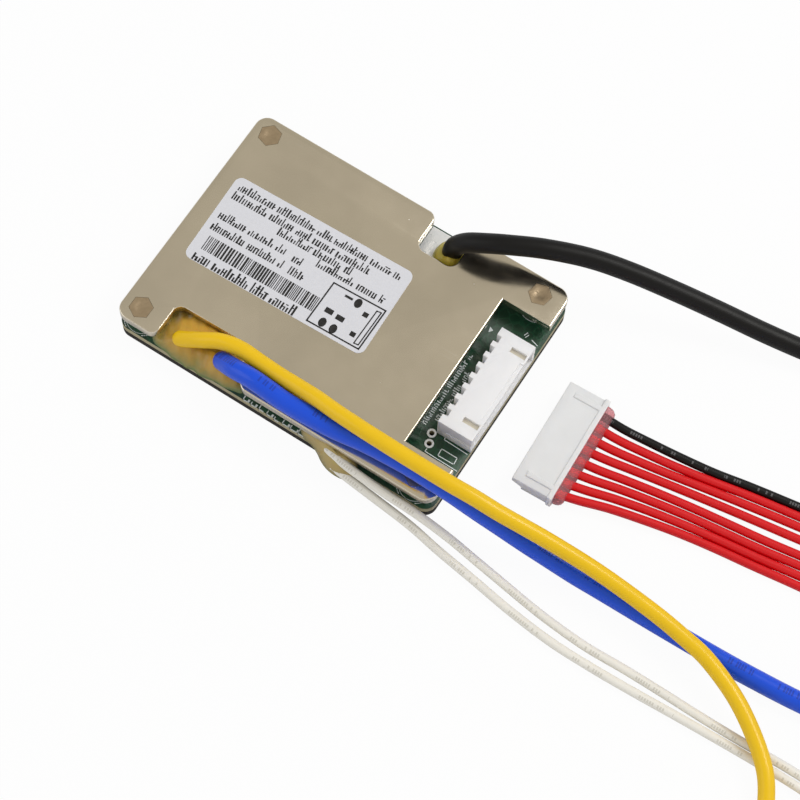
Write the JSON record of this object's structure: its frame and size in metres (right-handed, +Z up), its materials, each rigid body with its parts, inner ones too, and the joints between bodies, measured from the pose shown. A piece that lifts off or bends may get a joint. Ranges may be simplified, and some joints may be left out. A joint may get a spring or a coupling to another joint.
{
  "type": "battery management board",
  "caption": "Battery management circuit board under a notched heatsink plate, with a side-entry header, soldered power leads held by glue, and an unplugged sense harness.",
  "frame": {"origin": "bottom centre of the board stack, on the surface that its insulating pad lies on", "axes": "+X towards the connector end and the leads' free ends, +Y towards the black pack lead, +Z up out of the heatsink plate"},
  "size_m": [0.2188, 0.1067, 0.0171],
  "materials": {
    "pad_rubber": "dull black insulating pad",
    "board_green": "green solder mask on glass fibre board",
    "solder_tin": "bright tinned copper and solder",
    "plate_nickel": "smooth satin metal with fine scratches, a soft mirror",
    "standoff_metal": "turned and plated",
    "screw_steel": "plated",
    "header_nylon": "white moulded nylon",
    "pin_tin": "tinned square wire",
    "moulded_black": "black moulded epoxy",
    "lead_frame": "tinned lead frame and end caps",
    "gap_pad": "soft grey heat pad",
    "ceramic": "fired ceramic",
    "label_film": "white paper label with grey print",
    "glue_amber": "clear amber glue",
    "glue_clear": "clear hot-melt glue",
    "sleeve_black": "smooth black insulation",
    "sleeve_yellow": "smooth yellow insulation",
    "sleeve_blue": "smooth blue insulation",
    "sleeve_white": "cream insulation",
    "sleeve_red": "smooth red insulation",
    "plug_nylon": "white translucent nylon"
  },
  "bodies": {
    "root": {"base_pad": "pad_rubber", "circuit_board": "board_green", "tinned_pads": "solder_tin", "heatsink_plate": "plate_nickel", "clinch_standoffs": "standoff_metal", "board_screws": "screw_steel", "header_housing": "header_nylon", "header_pins": "pin_tin", "power_transistors": "moulded_black", "transistor_legs": "lead_frame", "thermal_pads": "gap_pad", "shunt_resistors": "moulded_black", "shunt_ends": "lead_frame", "control_chip": "moulded_black", "control_chip_legs": "lead_frame", "balance_resistors": "moulded_black", "balance_resistor_ends": "lead_frame", "balance_transistors": "moulded_black", "balance_transistor_legs": "lead_frame", "chip_capacitors": "ceramic", "chip_capacitor_ends": "lead_frame", "label": "label_film", "pack_lead_glue": "glue_amber", "main_leads_glue": "glue_amber", "white_leads_glue": "glue_amber", "black_lead": "sleeve_black", "yellow_lead": "sleeve_yellow", "blue_lead": "sleeve_blue", "white_lead_1": "sleeve_white", "white_lead_2": "sleeve_white", "black_lead_end": "solder_tin", "yellow_lead_end": "solder_tin", "blue_lead_end": "solder_tin", "white_lead_ends": "solder_tin", "harness_plug": "plug_nylon", "harness_contacts": "pin_tin", "harness_plug_glue": "glue_clear", "harness_wire_1": "sleeve_black", "harness_wire_2": "sleeve_red", "harness_wire_3": "sleeve_red", "harness_wire_4": "sleeve_red", "harness_wire_5": "sleeve_red", "harness_wire_6": "sleeve_red", "harness_wire_7": "sleeve_red", "harness_wire_8": "sleeve_red", "harness_wire_ends": "solder_tin"}
  },
  "joints": []
}
